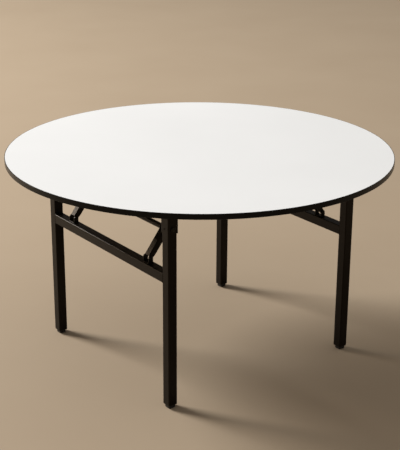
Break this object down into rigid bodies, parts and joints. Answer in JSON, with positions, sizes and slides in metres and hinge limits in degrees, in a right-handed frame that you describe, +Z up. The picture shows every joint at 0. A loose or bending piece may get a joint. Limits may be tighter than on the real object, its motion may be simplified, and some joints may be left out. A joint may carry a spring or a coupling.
{
  "type": "round folding table",
  "caption": "Round folding table: white laminated top with a black edge on two square-tube leg frames that fold flat under it on toggle braces.",
  "frame": {"origin": "on the floor under the middle of the top", "axes": "+Z up; +Y to the left along the leg frames' crossbars; X square to the leg frames, the near frame at -X and the far frame at +X"},
  "size_m": [1.3998, 1.4, 0.76],
  "materials": {
    "white_laminate": "satin high-pressure laminate",
    "board": "bare fibreboard",
    "backing": "matt dark backing laminate",
    "black_edge": "satin extruded edge band",
    "black_steel": "black powder coat",
    "black_fastener": "black oxide",
    "zinc": "bright zinc",
    "black_plastic": "moulded",
    "nylon": "natural nylon"
  },
  "bodies": {
    "table_top": {"face_laminate": "white_laminate", "core_board": "board", "backing_sheet": "backing", "edge_band": "black_edge", "near_leg_brackets": "black_steel", "far_leg_brackets": "black_steel", "near_brace_hangers": "black_steel", "far_brace_hangers": "black_steel", "pivot_bolts": "black_fastener", "pivot_nuts": "black_fastener", "pivot_washers": "nylon", "hanger_rivets": "black_fastener", "bracket_screws": "zinc", "hanger_screws": "zinc"},
    "near_leg_frame": {"near_left_leg": "black_steel", "near_right_leg": "black_steel", "near_crossbar": "black_steel", "near_feet": "black_plastic", "near_pivot_bushes": "zinc", "near_brace_clevises": "black_steel", "near_clevis_rivets": "black_fastener"},
    "near_lower_brace": {"near_left_lower_strut": "black_steel", "near_right_lower_strut": "black_steel", "near_tie_tube": "black_steel", "near_knee_rivet_ends": "black_fastener"},
    "near_upper_brace": {"near_left_upper_strut": "black_steel", "near_right_upper_strut": "black_steel", "near_knee_pins": "black_fastener"},
    "far_leg_frame": {"far_left_leg": "black_steel", "far_right_leg": "black_steel", "far_crossbar": "black_steel", "far_feet": "black_plastic", "far_pivot_bushes": "zinc", "far_brace_clevises": "black_steel", "far_clevis_rivets": "black_fastener"},
    "far_lower_brace": {"far_left_lower_strut": "black_steel", "far_right_lower_strut": "black_steel", "far_tie_tube": "black_steel", "far_knee_rivet_ends": "black_fastener"},
    "far_upper_brace": {"far_left_upper_strut": "black_steel", "far_right_upper_strut": "black_steel", "far_knee_pins": "black_fastener"}
  },
  "joints": [
    {"name": "near_frame_fold", "type": "hinge", "parent": "table_top", "child": "near_leg_frame", "pos_m": [-0.392, 0, 0.653], "axis": [0, -1, 0], "range_deg": [0, 90]},
    {"name": "near_lower_brace_pivot", "type": "hinge", "parent": "near_leg_frame", "child": "near_lower_brace", "pos_m": [-0.392, 0, 0.5085], "axis": [0, -1, 0], "range_deg": [0, 41.88]},
    {"name": "near_upper_brace_pivot", "type": "hinge", "parent": "table_top", "child": "near_upper_brace", "pos_m": [-0.23036, 0, 0.723], "axis": [0, -1, 0], "range_deg": [-21.85, 0]},
    {"name": "far_frame_fold", "type": "hinge", "parent": "table_top", "child": "far_leg_frame", "pos_m": [0.392, 0, 0.695], "axis": [0, 1, 0], "range_deg": [0, 90]},
    {"name": "far_lower_brace_pivot", "type": "hinge", "parent": "far_leg_frame", "child": "far_lower_brace", "pos_m": [0.392, 0, 0.5085], "axis": [0, 1, 0], "range_deg": [0, 37.39]},
    {"name": "far_upper_brace_pivot", "type": "hinge", "parent": "table_top", "child": "far_upper_brace", "pos_m": [0.23036, 0, 0.723], "axis": [0, 1, 0], "range_deg": [-39.54, 0]}
  ],
  "couplings": [
    {"joint": "near_lower_brace_pivot", "follows": "near_frame_fold", "ratio": 0.4648},
    {"joint": "near_upper_brace_pivot", "follows": "near_frame_fold", "ratio": -0.24218},
    {"joint": "far_lower_brace_pivot", "follows": "far_frame_fold", "ratio": 0.41493},
    {"joint": "far_upper_brace_pivot", "follows": "far_frame_fold", "ratio": -0.43876}
  ]
}
